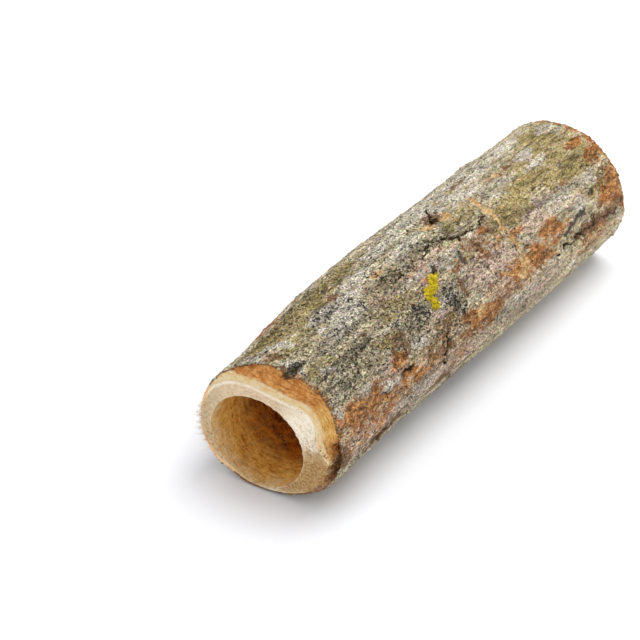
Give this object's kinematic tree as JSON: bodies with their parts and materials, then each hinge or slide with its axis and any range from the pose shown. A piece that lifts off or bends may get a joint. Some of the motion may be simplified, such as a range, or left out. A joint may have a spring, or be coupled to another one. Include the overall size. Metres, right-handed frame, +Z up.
{
  "type": "wood log",
  "caption": "Short round log in its natural bark, sawn at both ends and drilled through lengthwise, off centre, as a tunnel for small pets or a craft blank.",
  "frame": {"origin": "middle of the bounding box in X and Y, at the lowest point of the underside that the log lies on", "axes": "+Y along the log, from the near saw cut with the thin wall to the far saw cut; +Z up; +X to the right seen from the near cut"},
  "size_m": [0.0476, 0.1544, 0.0449],
  "materials": {
    "bark": "rough grey-green bark with lichen crust and rust-orange worn patches",
    "sawn_wood": "raw sawn end grain and drilled hole, unsealed"
  },
  "bodies": {
    "root": {"wood_log": "bark"}
  },
  "joints": []
}
